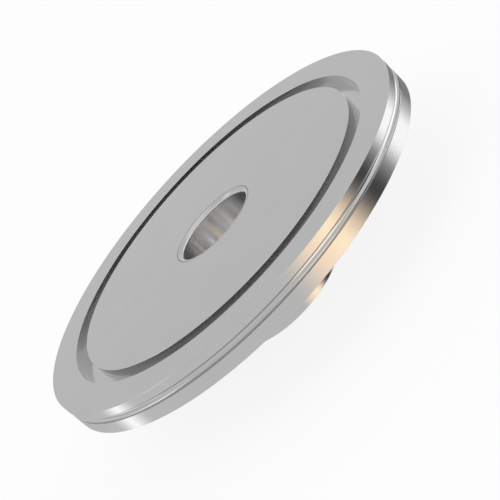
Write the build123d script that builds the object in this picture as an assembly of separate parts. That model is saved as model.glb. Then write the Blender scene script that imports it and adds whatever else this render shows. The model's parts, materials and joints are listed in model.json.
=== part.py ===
from build123d import *
import math
import os

# A welded vacuum adapter: a large clamp flange, a short tube through its middle, and a small clamp
# flange on the tube's far end. All three are turned about Z. The part stands on the small flange's end
# face, at Z = 0, with the large flange's sealing face on top. Sizes are in millimetres.

# Overall
overall_length = 41.5

# Large clamp flange, nominal size 160
large_rim_radius = 90.0
large_thickness = 12.0
sealing_ring_width = 13.5
trench_width = 6.0
trench_depth = 4.5
rim_groove_radius = 1.6
rim_groove_from_face = 4.9
claw_land_width = 3.0
claw_groove_radius = 2.0

# Tube, with its mouth rounded over nearly the whole wall
tube_outer_radius = 19.05
tube_wall = 2.11
mouth_land = 0.1

# Small clamp flange, nominal size 40
small_rim_radius = 27.5
small_rim_height = 3.0
clamp_taper_degrees = 15.0
collar_wall = 3.15
collar_height = 9.0
collar_fillet = 0.8
recess_step = 1.55
recess_depth = 3.0

# Fit of the tube in both flanges before welding, and how far the edges and inner corners are eased
weld_gap = 0.1
seam_break = 0.1
edge_break = 0.1
tool_radius = 0.1

# Heights and radii that follow
plate_front = overall_length
plate_back = plate_front - large_thickness
trench_outer_radius = large_rim_radius - sealing_ring_width
trench_inner_radius = trench_outer_radius - trench_width
trench_floor = plate_front - trench_depth
rim_groove_height = plate_front - rim_groove_from_face
claw_groove_ring = large_rim_radius - claw_land_width - claw_groove_radius
tube_inner_radius = tube_outer_radius - tube_wall
tube_rear = recess_depth
mouth_rounding = tube_wall - seam_break - mouth_land
socket_radius = tube_outer_radius + weld_gap
collar_radius = socket_radius + collar_wall
recess_radius = tube_outer_radius + recess_step
taper_slope = math.tan(math.radians(clamp_taper_degrees))
collar_foot = small_rim_height + (small_rim_radius - collar_radius) * taper_slope
same_point = 1e-4


# Half sections, drawn in the XZ plane with X as the distance from the axis
def ring_section(inner, outer, low, high):
    width = outer - inner
    height = high - low
    return Plane.XZ * Pos(inner + width / 2, low + height / 2) * Rectangle(width, height)


def round_section(ring_radius, height, radius):
    return Plane.XZ * Pos(ring_radius, height) * Circle(radius)


def corners(section, *places):
    def is_listed(vertex):
        return any(math.hypot(vertex.X - x, vertex.Z - z) < same_point for x, z in places)

    return section.vertices().filter_by(is_listed)


# Large flange: a plate with a centring trench in the sealing face, a half-round groove for a retaining
# wire in the rim, and a half-round groove for claw clamps in the back
def large_flange():
    section = ring_section(socket_radius, large_rim_radius, plate_back, plate_front)
    section -= ring_section(trench_inner_radius, trench_outer_radius, trench_floor, plate_front)
    section -= round_section(large_rim_radius, rim_groove_height, rim_groove_radius)
    section -= round_section(claw_groove_ring, plate_back, claw_groove_radius)
    trench_foot = corners(
        section,
        (trench_inner_radius, trench_floor),
        (trench_outer_radius, trench_floor),
    )
    section = fillet(trench_foot, tool_radius)
    rims = corners(
        section,
        (large_rim_radius, plate_front),
        (large_rim_radius, plate_back),
        (trench_inner_radius, plate_front),
        (trench_outer_radius, plate_front),
        (socket_radius, plate_back),
    )
    section = chamfer(rims, edge_break)
    seam = corners(section, (socket_radius, plate_front))
    section = chamfer(seam, seam_break)
    return revolve(section, Axis.Z)


# Tube: flush with the sealing face in front, and with the floor of the small flange's recess behind
def connecting_tube():
    section = ring_section(tube_inner_radius, tube_outer_radius, tube_rear, plate_front)
    mouth = corners(section, (tube_inner_radius, plate_front))
    section = fillet(mouth, mouth_rounding)
    ends = corners(
        section,
        (tube_outer_radius, plate_front),
        (tube_outer_radius, tube_rear),
        (tube_inner_radius, tube_rear),
    )
    section = chamfer(ends, seam_break)
    return revolve(section, Axis.Z)


# Small flange: a clamp rim with a coned back, a collar that holds the tube, and a centring recess
def small_flange():
    cone_top = small_rim_height + (small_rim_radius - socket_radius) * taper_slope
    rim = Plane.XZ * make_face(
        Polyline(
            (socket_radius, 0),
            (small_rim_radius, 0),
            (small_rim_radius, small_rim_height),
            (socket_radius, cone_top),
            close=True,
        )
    )
    section = rim + ring_section(socket_radius, collar_radius, 0, collar_height)
    section -= ring_section(0, recess_radius, 0, recess_depth)
    neck = corners(section, (collar_radius, collar_foot))
    section = fillet(neck, collar_fillet)
    edges = corners(
        section,
        (small_rim_radius, 0),
        (small_rim_radius, small_rim_height),
        (recess_radius, 0),
        (collar_radius, collar_height),
        (socket_radius, collar_height),
    )
    section = chamfer(edges, edge_break)
    seam = corners(section, (socket_radius, recess_depth))
    section = chamfer(seam, seam_break)
    return revolve(section, Axis.Z)


# One file for each piece
os.makedirs("parts", exist_ok=True)
export_step(large_flange(), "parts/large_clamp_flange.step")
export_step(connecting_tube(), "parts/connecting_tube.step")
export_step(small_flange(), "parts/small_clamp_flange.step")
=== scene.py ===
import json
import math

import bpy
from mathutils import Matrix, Vector


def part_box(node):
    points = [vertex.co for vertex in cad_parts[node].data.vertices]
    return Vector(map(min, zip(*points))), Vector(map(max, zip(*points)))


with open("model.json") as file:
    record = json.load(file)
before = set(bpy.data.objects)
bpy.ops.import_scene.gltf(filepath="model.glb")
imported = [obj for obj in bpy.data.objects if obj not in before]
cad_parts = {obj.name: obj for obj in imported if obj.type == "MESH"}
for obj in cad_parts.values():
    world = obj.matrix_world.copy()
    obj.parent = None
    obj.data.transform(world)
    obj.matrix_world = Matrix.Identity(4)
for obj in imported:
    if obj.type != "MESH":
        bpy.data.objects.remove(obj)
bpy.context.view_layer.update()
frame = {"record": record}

# Sizes are in metres, angles in degrees, and colours are linear levels. Azimuth 0 is the camera's
# side of the part, 90 is to its right and 180 is away from it
MM = 0.001

# Places on the part, from the frame
FACE_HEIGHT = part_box("large_clamp_flange")[1].z
BACK_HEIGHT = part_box("large_clamp_flange")[0].z
TUBE_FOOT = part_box("connecting_tube")[0].z
TUBE_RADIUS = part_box("connecting_tube")[1].x
MOUNTS = {mount["name"]: mount for mount in frame["record"]["mounts"]}
BORE_RADIUS = MOUNTS["tube_bore"]["dims"]["r_mm"] * MM

# The claw groove in the large flange's back: the ring that its half round is centred on, its own
# radius, and how near to its wall and its edges a point still counts as within it
CLAW_RING = 85 * MM
CLAW_RADIUS = 2 * MM
CLAW_MARGIN = 0.05 * MM

# Turned steel: how much it reflects and how rough it is, how far both vary, the noise of its
# turning marks with the range of it that changes the roughness, and the noise of its clouds of tone
TURNED_LEVEL = 0.60
LEVEL_SPREAD = 0.05
TURNED_ROUGHNESS = 0.12
ROUGHNESS_SPREAD = 0.02
MARK_PITCH = 0.8 * MM
MARK_DEPTH = 0.0003 * MM
MARK_DETAIL = 4.0
MARK_FINENESS = 0.6
MARK_LOW = 0.3
MARK_HIGH = 0.7
CLOUD_SIZE = 22 * MM
CLOUD_DETAIL = 4.0
CLOUD_FINENESS = 0.5

# Drawn steel, within the tube: how much it reflects and how rough it is, the second, rougher gloss
# of its fine scratches, and how far outside the bore it begins and is whole
DRAWN_LEVEL = 0.76
DRAWN_ROUGHNESS = 0.13
SCRATCH_INDEX = 3.2
SCRATCH_ROUGHNESS = 0.32
DRAWN_START = 0.3 * MM
DRAWN_WHOLE = 0.05 * MM

# The welded seam's hairline, where the tube meets a flange, darkened by painted shade of its gap
# and by
# dirt: how far outside the tube its middle lies, how far it reaches to each side and along the
# axis, and the share of both that is whole
SEAM_OFFSET = 0.05 * MM
SEAM_HALF_WIDTH = 0.16 * MM
SEAM_REACH = 0.3 * MM
SEAM_WHOLE = 0.5
SEAM_SHADE_AND_DIRT_LEVEL = 0.12

# The studio, as soft panels in the directions that the metal reflects. A panel is (azimuth, half
# width, softness of its sides, lowest and highest elevation, colour), and it covers those before it
STUDIO = (0.76, 0.76, 0.76)
PANEL_END_SOFTNESS = 8
PANELS = {
    "upper_dome": (180, 220, 10, 10, 100, (0.71, 0.71, 0.71)),
    "bright_side": (74, 18, 24, 4, 34, (0.86, 0.86, 0.86)),
    "left_band": (-104, 22, 16, -10, 12, (0.63, 0.63, 0.63)),
    "left_side": (-122, 14, 20, 12, 28, (0.84, 0.84, 0.84)),
    "left_wall": (-180, 40, 44, -60, -3, (0.57, 0.57, 0.57)),
    "left_end": (-180, 16, 12, -60, -3, (0.13, 0.13, 0.13)),
    "strip_light": (-111, 4.5, 18, -45, -14, (1.8, 1.8, 1.8)),
    "low_strip": (-112, 20, 10, -50, -30, (2.2, 2.2, 2.2)),
    "high_lamp": (-103, 22, 16, 37, 46, (1.45, 1.45, 1.45)),
    "warm_wall": (35.5, 21.5, 28, -60, -7, (1.57, 1.22, 0.89)),
    "warm_middle": (35, 5, 12, -34, -7, (1.65, 1.38, 0.97)),
    "low_lamp": (27, 18, 8, -62, -39, (2.3, 2.25, 2.0)),
    "dark_door": (67, 15.5, 30, -60, -7, (0.08, 0.08, 0.08)),
    "white_wall": (104.7, 14.3, 17, -60, 0, (1.53, 1.53, 1.53)),
    "shaded_wall": (152, 19, 20, -60, -8, (0.27, 0.27, 0.27)),
    "window_top": (101, 29, 12, 0, 20, (0.88, 0.88, 0.88)),
    "window": (101, 29, 12, -8, 4, (1.95, 1.95, 1.95)),
    "window_end": (138, 16, 8, -7, 4, (1.7, 1.7, 1.7)),
}

# A large soft light overhead: its azimuth and elevation, and where it begins and is whole, as
# angles from its middle
OVERHEAD_AZIMUTH = 60
OVERHEAD_ELEVATION = 70
OVERHEAD_EDGE = 42
OVERHEAD_WHOLE = 6
OVERHEAD_LEVEL = 0.98

# Backdrop, floor and the lamp that gives the part its shadow. The lift is the share of the floor's
# own glow, which makes it pale
BACKDROP = 0.98
FLOOR_SIZE = 8.0
FLOOR_COLOUR = 0.9
FLOOR_LIFT = 0.86
SUN_STRENGTH = 0.7
SUN_ANGLE = 35
SUN_DIRECTION = Vector((0.45, 0.5, -0.9))

# Camera, as the photograph was taken: 20 degrees above the sealing face, and rolled clockwise by
# 48 degrees, so that the part leans to the left
CAMERA_LENS = 97.16
CAMERA_SENSOR = 36.0
CAMERA_PLACE = Vector((0.0, -0.49543, 0.20325))
CAMERA_FORWARD = Vector((0.004245, 0.939531, -0.342439)).normalized()
CAMERA_RIGHT = Vector((0.672555, -0.256104, -0.69432)).normalized()


# Small helpers for node trees. Their values are sockets, or else plain numbers and colours
def link_or_set(tree, socket, value):
    if isinstance(value, bpy.types.NodeSocket):
        tree.links.new(value, socket)
    else:
        socket.default_value = value


def calculate(tree, operation, first, second=0.0):
    node = tree.nodes.new("ShaderNodeMath")
    node.operation = operation
    link_or_set(tree, node.inputs[0], first)
    link_or_set(tree, node.inputs[1], second)
    return node.outputs[0]


def vectors(tree, operation, first, second=None):
    node = tree.nodes.new("ShaderNodeVectorMath")
    node.operation = operation
    link_or_set(tree, node.inputs[0], first)
    if second is not None:
        link_or_set(tree, node.inputs["Scale" if operation == "SCALE" else 1], second)
    return node.outputs["Value" if operation == "DOT_PRODUCT" else "Vector"]


def split(tree, vector):
    node = tree.nodes.new("ShaderNodeSeparateXYZ")
    tree.links.new(vector, node.inputs[0])
    return node.outputs


def combine(tree, x=0.0, y=0.0, z=0.0):
    node = tree.nodes.new("ShaderNodeCombineXYZ")
    for socket, value in zip(node.inputs, (x, y, z)):
        link_or_set(tree, socket, value)
    return node.outputs[0]


def hypotenuse(tree, x, y):
    squares = [calculate(tree, "MULTIPLY", side, side) for side in (x, y)]
    return calculate(tree, "SQRT", calculate(tree, "ADD", *squares))


def map_range(tree, value, start, end, low=0.0, high=1.0, kind="SMOOTHSTEP"):
    node = tree.nodes.new("ShaderNodeMapRange")
    node.interpolation_type = kind
    link_or_set(tree, node.inputs["Value"], value)
    link_or_set(tree, node.inputs["From Min"], start)
    link_or_set(tree, node.inputs["From Max"], end)
    link_or_set(tree, node.inputs["To Min"], low)
    link_or_set(tree, node.inputs["To Max"], high)
    return node.outputs["Result"]


def noise(tree, place, size, detail, fineness):
    node = tree.nodes.new("ShaderNodeTexNoise")
    node.inputs["Scale"].default_value = 1 / size
    node.inputs["Detail"].default_value = detail
    node.inputs["Roughness"].default_value = fineness
    tree.links.new(place, node.inputs["Vector"])
    return node.outputs["Fac"]


def grey(level):
    return (level, level, level, 1.0)


def mix_colours(tree, share, first, second):
    node = tree.nodes.new("ShaderNodeMix")
    node.data_type = "RGBA"
    link_or_set(tree, node.inputs["Factor"], share)
    link_or_set(tree, node.inputs["A"], first)
    link_or_set(tree, node.inputs["B"], second)
    return node.outputs["Result"]


def mix_shaders(tree, share, first, second):
    node = tree.nodes.new("ShaderNodeMixShader")
    for socket, source in zip(node.inputs, (share, first, second)):
        tree.links.new(source, socket)
    return node.outputs[0]


# Where a point of the surface lies: its place, its distance from the part's axis and its height
def surface_place(tree):
    place = tree.nodes.new("ShaderNodeTexCoord").outputs["Object"]
    x, y, height = split(tree, place)
    return place, hypotenuse(tree, x, y), height


# The claw groove's normal, which points to the ring that the half round is centred on, and 1 within
# the groove and 0 elsewhere
def claw_normal(tree, outward, distance, height):
    aside = calculate(tree, "SUBTRACT", CLAW_RING, distance)
    drop = calculate(tree, "SUBTRACT", BACK_HEIGHT, height)
    to_ring = vectors(tree, "ADD", vectors(tree, "SCALE", outward, aside), combine(tree, z=drop))
    reach = calculate(tree, "SQRT", vectors(tree, "DOT_PRODUCT", to_ring, to_ring))
    near = calculate(tree, "LESS_THAN", reach, CLAW_RADIUS + CLAW_MARGIN)
    above = calculate(tree, "LESS_THAN", drop, -CLAW_MARGIN)
    return vectors(tree, "NORMALIZE", to_ring), calculate(tree, "MULTIPLY", near, above)


# The mesh's normal with its level part turned to lie along the radius, as on any turned surface.
# It shades evenly round the axis, also where the mesh's triangles are uneven. In the claw groove,
# where they are most uneven, the groove's own normal takes its place
def turned_normal(tree, place, distance, height):
    normal = tree.nodes.new("ShaderNodeTexCoord").outputs["Normal"]
    outward = vectors(tree, "NORMALIZE", vectors(tree, "MULTIPLY", place, (1.0, 1.0, 0.0)))
    level = vectors(tree, "SCALE", outward, vectors(tree, "DOT_PRODUCT", outward, normal))
    upright = vectors(tree, "MULTIPLY", normal, (0.0, 0.0, 1.0))
    turned = vectors(tree, "ADD", level, upright)

    rounded, in_groove = claw_normal(tree, outward, distance, height)
    elsewhere = calculate(tree, "SUBTRACT", 1.0, in_groove)
    groove_part = vectors(tree, "SCALE", rounded, in_groove)
    other_part = vectors(tree, "SCALE", turned, elsewhere)

    to_world = tree.nodes.new("ShaderNodeVectorTransform")
    to_world.vector_type = "NORMAL"
    to_world.convert_from = "OBJECT"
    to_world.convert_to = "WORLD"
    tree.links.new(vectors(tree, "ADD", groove_part, other_part), to_world.inputs[0])
    return to_world.outputs[0]


# Turning marks run round the axis, so they depend only on the distance from it and the height
def turning_marks(tree, distance, height):
    section = combine(tree, distance, height)
    return noise(tree, section, MARK_PITCH, MARK_DETAIL, MARK_FINENESS)


# 1 in the hairline seam, in front and at the floor of the recess behind, and 0 elsewhere. There the
# steel is darkened with painted shade of the seam's gap and with dirt
def seam_shade_and_dirt_share(tree, distance, height):
    middle = TUBE_RADIUS + SEAM_OFFSET
    aside = calculate(tree, "ABSOLUTE", calculate(tree, "SUBTRACT", distance, middle))
    in_ring = map_range(tree, aside, SEAM_HALF_WIDTH, SEAM_HALF_WIDTH * SEAM_WHOLE)
    ends = []
    for end in (FACE_HEIGHT, TUBE_FOOT):
        away = calculate(tree, "ABSOLUTE", calculate(tree, "SUBTRACT", height, end))
        ends.append(map_range(tree, away, SEAM_REACH, SEAM_REACH * SEAM_WHOLE))
    return calculate(tree, "MULTIPLY", in_ring, calculate(tree, "MAXIMUM", *ends))


# Steel, turned all over, or drawn within the bore and turned elsewhere. The drawn finish is
# brighter, has no turning marks in relief, and has a second, rougher gloss over it
def steel(name, drawn=False):
    material = bpy.data.materials.new(name)
    material.use_nodes = True
    tree = material.node_tree
    shader = tree.nodes["Principled BSDF"]
    shader.inputs["Metallic"].default_value = 1.0
    place, distance, height = surface_place(tree)
    marks = turning_marks(tree, distance, height)

    clouds = noise(tree, place, CLOUD_SIZE, CLOUD_DETAIL, CLOUD_FINENESS)
    share = calculate(tree, "MULTIPLY", calculate(tree, "ADD", clouds, marks), 0.5)
    dark, bright = grey(TURNED_LEVEL - LEVEL_SPREAD), grey(TURNED_LEVEL + LEVEL_SPREAD)
    colour = mix_colours(tree, share, dark, bright)
    low, high = TURNED_ROUGHNESS - ROUGHNESS_SPREAD, TURNED_ROUGHNESS + ROUGHNESS_SPREAD
    roughness = map_range(tree, marks, MARK_LOW, MARK_HIGH, low, high, "LINEAR")
    bump = tree.nodes.new("ShaderNodeBump")
    bump.inputs["Distance"].default_value = MARK_DEPTH
    tree.links.new(marks, bump.inputs["Height"])
    tree.links.new(turned_normal(tree, place, distance, height), bump.inputs["Normal"])
    tree.links.new(bump.outputs["Normal"], shader.inputs["Normal"])
    if drawn:
        start, whole = BORE_RADIUS + DRAWN_START, BORE_RADIUS + DRAWN_WHOLE
        in_bore = map_range(tree, distance, start, whole)
        colour = mix_colours(tree, in_bore, colour, grey(DRAWN_LEVEL))
        roughness = map_range(tree, in_bore, 0.0, 1.0, roughness, DRAWN_ROUGHNESS, "LINEAR")
        marked = map_range(tree, in_bore, 0.0, 1.0, 1.0, 0.0, "LINEAR")
        tree.links.new(marked, bump.inputs["Strength"])
        tree.links.new(in_bore, shader.inputs["Coat Weight"])
        shader.inputs["Coat IOR"].default_value = SCRATCH_INDEX
        shader.inputs["Coat Roughness"].default_value = SCRATCH_ROUGHNESS
    # Painted shade of the seam's gap, together with dirt, darkens the steel in the hairline seam
    colour = mix_colours(tree, seam_shade_and_dirt_share(tree, distance, height), colour, grey(SEAM_SHADE_AND_DIRT_LEVEL))
    tree.links.new(colour, shader.inputs["Base Color"])
    tree.links.new(roughness, shader.inputs["Roughness"])
    return material


def finish_node(node, material):
    mesh = bpy.data.objects[node].data
    mesh.materials.clear()
    mesh.materials.append(material)


# How much of a panel lies in a direction, given as its level parts and its elevation
def panel_share(tree, x, y, elevation, azimuth, half_width, softness, low, high):
    turn = math.radians(azimuth)
    along = calculate(
        tree, "ADD",
        calculate(tree, "MULTIPLY", x, math.sin(turn)),
        calculate(tree, "MULTIPLY", y, -math.cos(turn)),
    )
    level = hypotenuse(tree, x, y)
    aside = calculate(tree, "ARCCOSINE", calculate(tree, "DIVIDE", along, level))
    half, soft = math.radians(half_width), math.radians(softness) / 2
    low, high, end = math.radians(low), math.radians(high), math.radians(PANEL_END_SOFTNESS) / 2
    sideways = map_range(tree, aside, half + soft, half - soft)
    above = map_range(tree, elevation, low - end, low + end)
    below = map_range(tree, elevation, high + end, high - end)
    return calculate(tree, "MULTIPLY", sideways, calculate(tree, "MULTIPLY", above, below))


# How much of the light overhead lies in a direction
def overhead_share(tree, direction):
    turn, rise = math.radians(OVERHEAD_AZIMUTH), math.radians(OVERHEAD_ELEVATION)
    x, y = math.sin(turn) * math.cos(rise), -math.cos(turn) * math.cos(rise)
    nearness = vectors(tree, "DOT_PRODUCT", direction, (x, y, math.sin(rise)))
    edge, whole = math.cos(math.radians(OVERHEAD_EDGE)), math.cos(math.radians(OVERHEAD_WHOLE))
    return map_range(tree, nearness, edge, whole)


# World: the studio lights the part and is what it mirrors, and the camera sees a plain backdrop
def studio_world():
    world = bpy.data.worlds.new("studio")
    bpy.context.scene.world = world
    world.use_nodes = True
    tree = world.node_tree
    direction = tree.nodes.new("ShaderNodeTexCoord").outputs["Generated"]
    x, y, z = split(tree, direction)
    elevation = calculate(tree, "ARCSINE", z)
    colour = STUDIO + (1.0,)
    for *shape, paint in PANELS.values():
        share = panel_share(tree, x, y, elevation, *shape)
        colour = mix_colours(tree, share, colour, paint + (1.0,))
    colour = mix_colours(tree, overhead_share(tree, direction), colour, grey(OVERHEAD_LEVEL))
    seen = tree.nodes.new("ShaderNodeLightPath").outputs["Is Camera Ray"]
    light = mix_colours(tree, seen, colour, grey(BACKDROP))
    tree.links.new(light, tree.nodes["Background"].inputs["Color"])


# Floor: pale, with the part's soft shadow, and see-through from below. The metal doesn't mirror it,
# because it mirrors the studio's low panels instead
def pale_floor():
    bpy.ops.mesh.primitive_plane_add(size=FLOOR_SIZE)
    floor = bpy.context.object
    floor.name = "floor"
    material = bpy.data.materials.new("pale_floor")
    material.use_nodes = True
    tree = material.node_tree
    tree.nodes.clear()
    output = tree.nodes.new("ShaderNodeOutputMaterial")
    paint = tree.nodes.new("ShaderNodeBsdfDiffuse")
    paint.inputs["Color"].default_value = grey(FLOOR_COLOUR)
    glow = tree.nodes.new("ShaderNodeEmission")
    glow.inputs["Color"].default_value = grey(1.0)
    path = tree.nodes.new("ShaderNodeLightPath")
    seen = calculate(tree, "MAXIMUM", path.outputs["Is Camera Ray"], path.outputs["Is Glossy Ray"])
    seen = calculate(tree, "MAXIMUM", seen, path.outputs["Is Transmission Ray"])
    lift = calculate(tree, "MULTIPLY", seen, FLOOR_LIFT)
    lit = mix_shaders(tree, lift, paint.outputs[0], glow.outputs[0])
    clear = tree.nodes.new("ShaderNodeBsdfTransparent").outputs[0]
    from_below = tree.nodes.new("ShaderNodeNewGeometry").outputs["Backfacing"]
    side = mix_shaders(tree, from_below, lit, clear)
    tree.links.new(side, output.inputs["Surface"])
    floor.data.materials.append(material)
    floor.visible_glossy = False


# A soft lamp over the camera's shoulder, which lights the floor and gives the part its shadow
def soft_lamp():
    data = bpy.data.lights.new("soft_sun", "SUN")
    data.energy = SUN_STRENGTH
    data.angle = math.radians(SUN_ANGLE)
    lamp = bpy.data.objects.new("soft_sun", data)
    bpy.context.collection.objects.link(lamp)
    lamp.rotation_euler = SUN_DIRECTION.to_track_quat("-Z", "Y").to_euler()
    lamp.visible_glossy = False


def photo_camera():
    data = bpy.data.cameras.new("camera")
    data.sensor_width = CAMERA_SENSOR
    data.lens = CAMERA_LENS
    camera = bpy.data.objects.new("camera", data)
    bpy.context.collection.objects.link(camera)
    up = CAMERA_RIGHT.cross(CAMERA_FORWARD).normalized()
    turn = Matrix((CAMERA_RIGHT, up, -CAMERA_FORWARD)).transposed().to_4x4()
    camera.matrix_world = Matrix.Translation(CAMERA_PLACE) @ turn
    bpy.context.scene.camera = camera


finish_node("large_clamp_flange", steel("turned_plate_steel"))
finish_node("connecting_tube", steel("drawn_tube_steel", drawn=True))
finish_node("small_clamp_flange", steel("turned_collar_steel"))
studio_world()
pale_floor()
soft_lamp()
photo_camera()
bpy.context.scene.view_settings.view_transform = "Standard"
